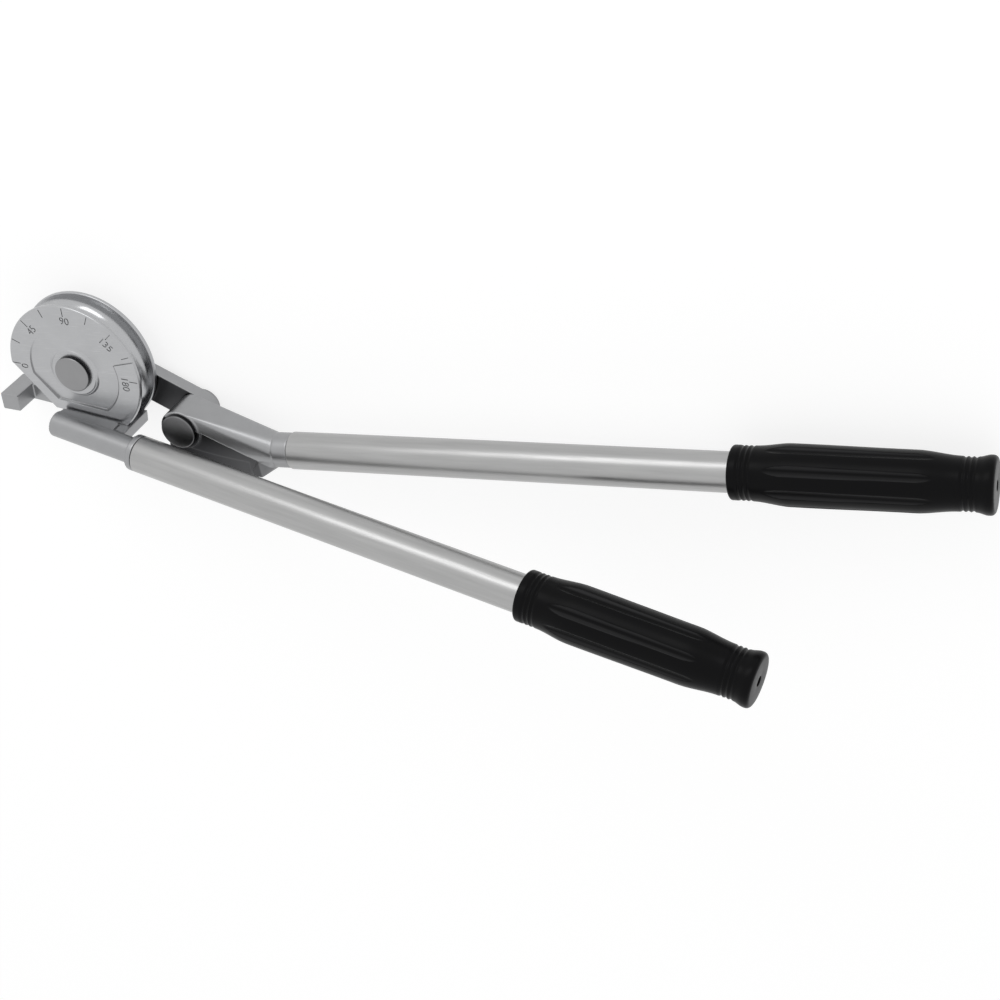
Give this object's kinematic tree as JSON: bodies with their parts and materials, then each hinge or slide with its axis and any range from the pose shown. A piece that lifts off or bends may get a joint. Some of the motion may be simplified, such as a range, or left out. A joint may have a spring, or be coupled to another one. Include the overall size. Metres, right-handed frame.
{
  "type": "lever tube bender",
  "caption": "Hand lever tube bender: a grooved forming wheel with degree marks on a fixed handle, a swinging shoe handle on a link, and a hook that holds the tube.",
  "frame": {"origin": "centre of the forming wheel, on its axis and in the middle plane of its groove", "axes": "+Z along the wheel's axis to the face with the degree marks, +X along the shoe handle towards its grip, +Y up"},
  "size_m": [0.5387, 0.1703, 0.1045],
  "materials": {
    "plated_wheel": "bright plated, ground groove",
    "satin_steel": "satin plated forging",
    "tube_steel": "satin plated tube",
    "pin_steel": "turned",
    "dark_steel": "black oxide",
    "bronze": "sintered bearing bronze",
    "grip_vinyl": "moulded gloss vinyl"
  },
  "bodies": {
    "base": {"forming_wheel": "plated_wheel", "wheel_bracket": "satin_steel", "wheel_screws": "dark_steel", "centre_pin": "pin_steel", "centre_spacer": "bronze", "centre_washer": "pin_steel", "centre_clip": "dark_steel", "lower_tube": "tube_steel", "lower_grip": "grip_vinyl", "lower_roll_pin": "dark_steel"},
    "link": {"link_bar": "satin_steel", "link_bush": "bronze", "link_pin": "pin_steel", "link_washer": "pin_steel", "link_clip": "dark_steel", "eye_spacer": "bronze"},
    "shoe_handle": {"shoe_forging": "satin_steel", "eye_bush": "bronze", "upper_tube": "tube_steel", "upper_grip": "grip_vinyl", "upper_roll_pin": "dark_steel"},
    "hook": {"tube_hook": "satin_steel", "hook_spring_washer": "dark_steel", "hook_washer": "pin_steel", "hook_clip": "dark_steel"}
  },
  "joints": [
    {"name": "link_swing", "type": "hinge", "parent": "base", "child": "link", "pos_m": [0, 0, 0], "axis": [0, 0, 1], "range_deg": [0, 200]},
    {"name": "handle_swing", "type": "hinge", "parent": "link", "child": "shoe_handle", "pos_m": [0.05687, -0.0331, 0], "axis": [0, 0, 1], "range_deg": [-111.5, 45]},
    {"name": "hook_turn", "type": "hinge", "parent": "base", "child": "hook", "pos_m": [-0.00751, -0.03347, -0.0132], "axis": [0.9757, -0.219, 0], "range_deg": [0, 90]}
  ]
}
